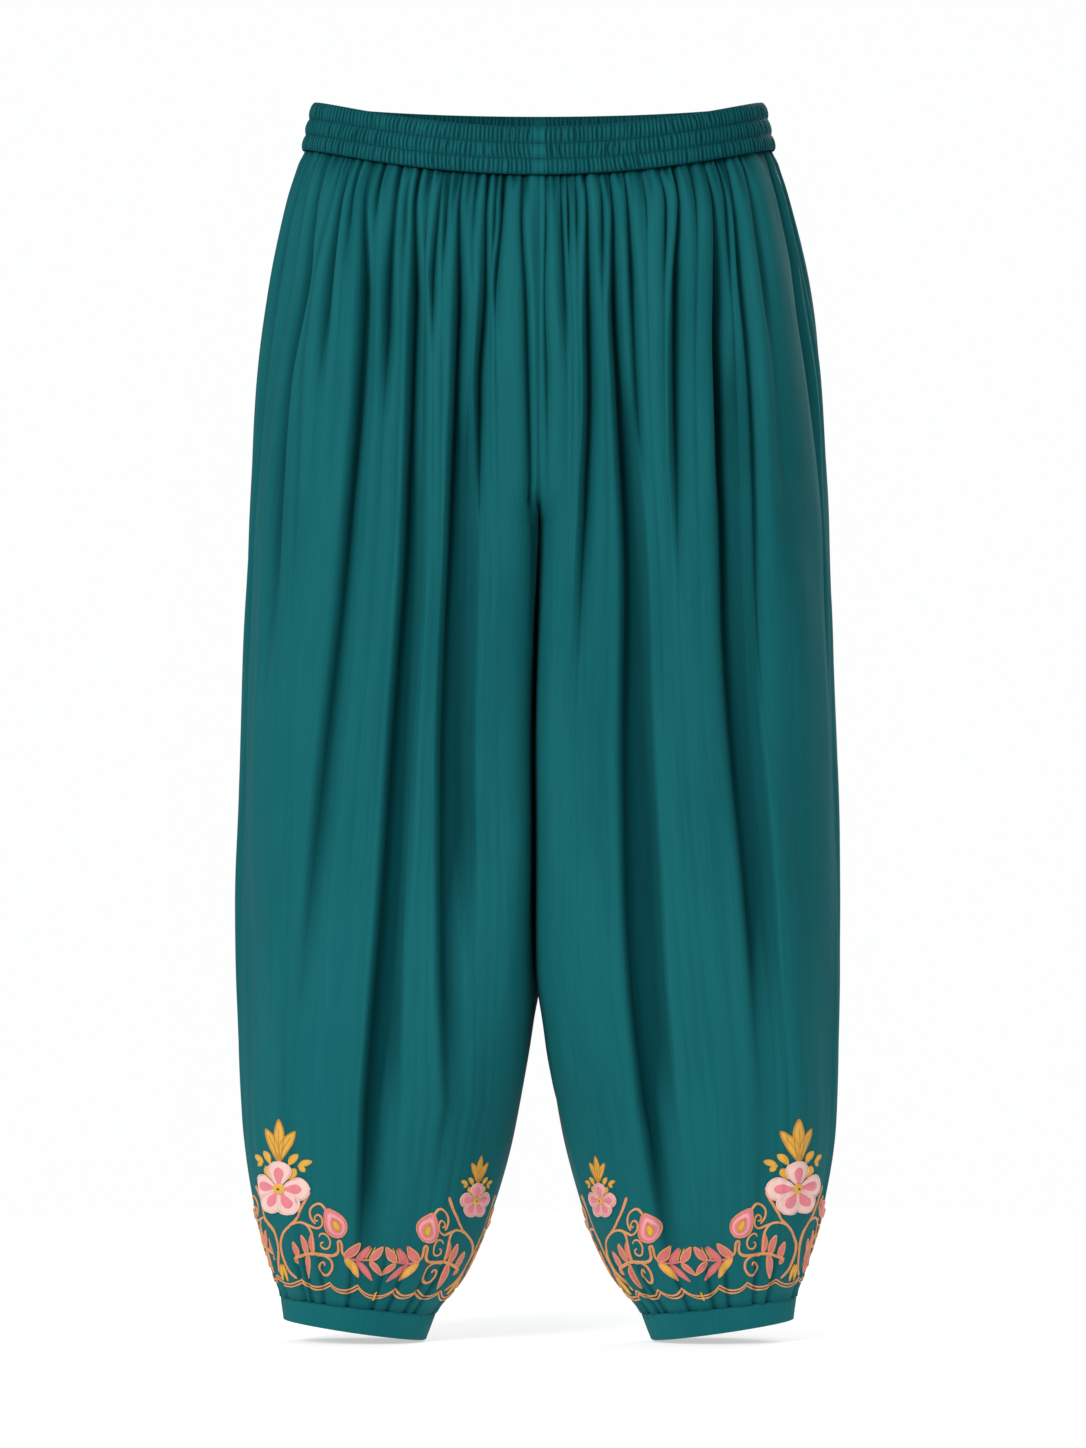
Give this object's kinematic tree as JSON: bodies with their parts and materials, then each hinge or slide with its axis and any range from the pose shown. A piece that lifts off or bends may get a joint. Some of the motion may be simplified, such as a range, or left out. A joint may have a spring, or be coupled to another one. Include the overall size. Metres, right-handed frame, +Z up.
{
  "type": "embroidered harem trousers",
  "caption": "Full-length gathered harem trousers with an elastic shirred waistband, ballooning legs, plain ankle cuffs and a floral thread border above the hems, filled out hollow as if worn.",
  "frame": {"origin": "middle of the waist opening, halfway up the waistband at the sides", "axes": "+Z up towards the waist, -Y the front, +X the wearer's left"},
  "size_m": [0.474, 0.286, 0.9763],
  "materials": {
    "leg_cloth": "teal viscose crepe, fine weave, soft low sheen",
    "waistband": "the same teal cloth, shirred over elastic",
    "cuff": "the same teal cloth, pressed flat",
    "sewing_thread": "teal polyester sewing thread, slight sheen",
    "embroidery_thread": "satin-stitch rayon thread in gold, peach and pinks, silky sheen"
  },
  "bodies": {
    "root": {"waistband_left": "waistband", "waistband_right": "waistband", "front_left": "leg_cloth", "front_right": "leg_cloth", "back_left": "leg_cloth", "back_right": "leg_cloth", "cuff_left": "cuff", "cuff_right": "cuff"}
  },
  "joints": []
}
